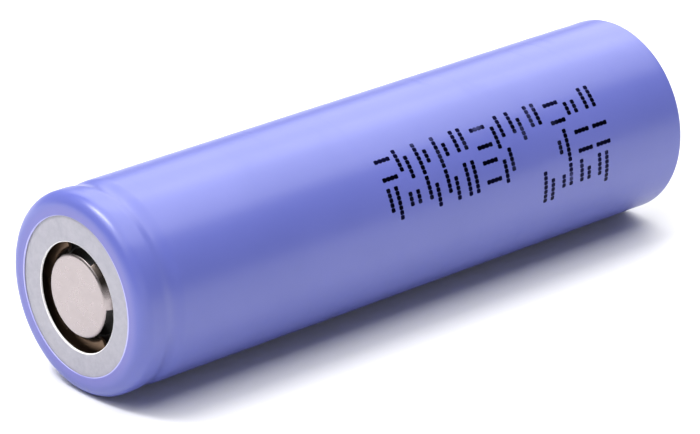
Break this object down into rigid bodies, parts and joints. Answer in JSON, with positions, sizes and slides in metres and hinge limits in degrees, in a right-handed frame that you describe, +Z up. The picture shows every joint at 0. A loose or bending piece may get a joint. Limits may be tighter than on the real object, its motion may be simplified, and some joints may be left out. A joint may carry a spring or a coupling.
{
  "type": "cylindrical battery cell",
  "caption": "Cylindrical rechargeable cell in a shrink sleeve: windowed flat-top positive cap, insulating washer, crimped and beaded can, rolled electrodes and safety vent inside.",
  "frame": {"origin": "centre of the cell's bounding box, on its axis, midway between the two ends", "axes": "+X along the cell's axis towards the positive terminal, +Z up as the cell lies on its side, +Y across"},
  "size_m": [0.065, 0.0182, 0.0182],
  "materials": {
    "sleeve_film": "satin lilac shrink film",
    "washer_fibre": "matte grey fibre board",
    "can_steel": "drawn nickel-plated steel",
    "cap_steel": "pressed nickel-plated steel, satin",
    "gasket_polymer": "moulded black polymer",
    "ptc_polymer": "carbon-filled polymer between foil faces",
    "insulator_polymer": "moulded white polymer",
    "aluminium_sheet": "pressed soft aluminium",
    "disc_fibre": "glass-fibre and resin sheet",
    "separator_film": "microporous white film",
    "anode_coating": "graphite on copper foil",
    "cathode_coating": "metal oxide on aluminium foil",
    "nickel_strip": "rolled nickel",
    "tab_tape": "amber polyimide tape",
    "closing_tape": "green polyester tape"
  },
  "bodies": {
    "cell": {"shrink_sleeve": "sleeve_film", "insulating_washer": "washer_fibre", "steel_can": "can_steel", "positive_cap": "cap_steel", "sealing_gasket": "gasket_polymer", "ptc_ring": "ptc_polymer", "vent_insulator": "insulator_polymer", "vented_plate": "aluminium_sheet", "weld_plate": "aluminium_sheet", "positive_tab": "aluminium_sheet", "positive_tab_tape": "tab_tape", "top_insulator": "disc_fibre", "inner_separator": "separator_film", "anode_sheet": "anode_coating", "outer_separator": "separator_film", "cathode_sheet": "cathode_coating", "closing_tape": "closing_tape", "centre_pin": "can_steel", "negative_tab": "nickel_strip", "negative_tab_tape": "tab_tape", "bottom_insulator": "disc_fibre"},
    "vent": {"vent_disc": "aluminium_sheet"}
  },
  "joints": [
    {"name": "vent_travel", "type": "slide", "parent": "cell", "child": "vent", "axis": [1, 0, 0], "range_m": [0, 0.0009], "deforming": ["vent_disc"]}
  ]
}
